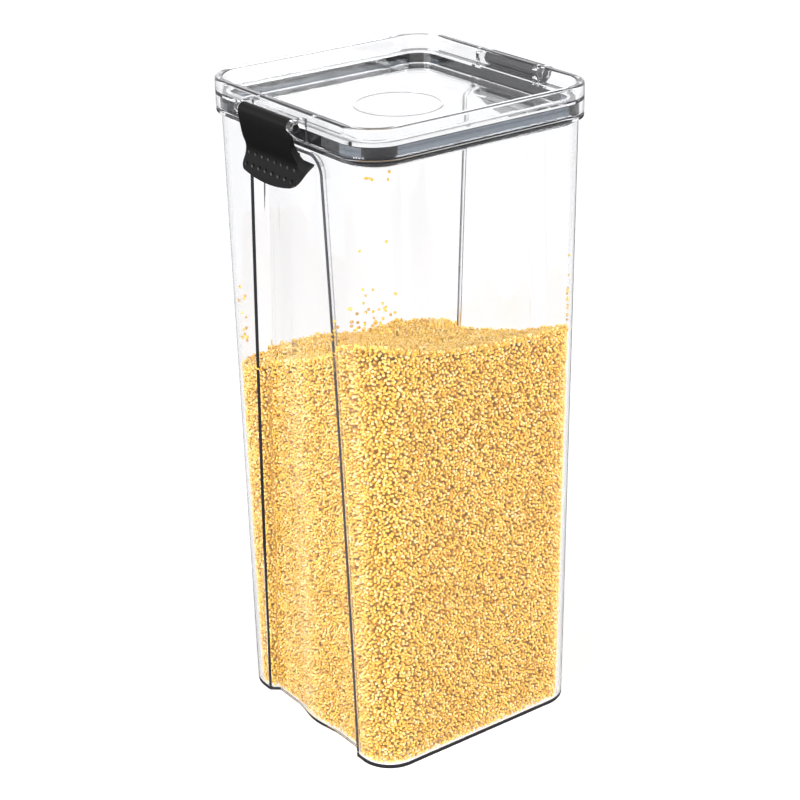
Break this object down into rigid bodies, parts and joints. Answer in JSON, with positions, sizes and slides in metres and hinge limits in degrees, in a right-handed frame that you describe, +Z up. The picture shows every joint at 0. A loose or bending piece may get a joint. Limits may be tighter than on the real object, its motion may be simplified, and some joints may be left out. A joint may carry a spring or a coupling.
{
  "type": "food canister",
  "caption": "Tall square clear storage canister with grip panels, a sunk-top lid with a soft gasket, two hinged side latches and a part fill of dry millet.",
  "frame": {"origin": "centre of the base, on the plane the canister stands on", "axes": "+Z up along the canister; X through the two latches, left latch at -X; -Y the plain front"},
  "size_m": [0.1136, 0.1, 0.2455],
  "materials": {
    "clear_jar": "clear and glossy",
    "clear_lid": "clear and glossy",
    "gasket": "satin silicone",
    "latch": "satin black",
    "millet": "dry golden grain"
  },
  "bodies": {
    "jar": {"jar": "clear_jar", "millet_fill": "millet"},
    "lid": {"lid": "clear_lid", "gasket": "gasket"},
    "left_latch": {"left_latch": "latch"},
    "right_latch": {"right_latch": "latch"}
  },
  "joints": [
    {"name": "lid_lift", "type": "slide", "parent": "jar", "child": "lid", "axis": [0, 0, 1], "range_m": [0, 0.28]},
    {"name": "left_latch_hinge", "type": "hinge", "parent": "lid", "child": "left_latch", "pos_m": [-0.0544, 0, 0.2412], "axis": [0, 1, 0], "range_deg": [0, 110]},
    {"name": "right_latch_hinge", "type": "hinge", "parent": "lid", "child": "right_latch", "pos_m": [0.0544, 0, 0.2412], "axis": [0, -1, 0], "range_deg": [0, 110]}
  ]
}
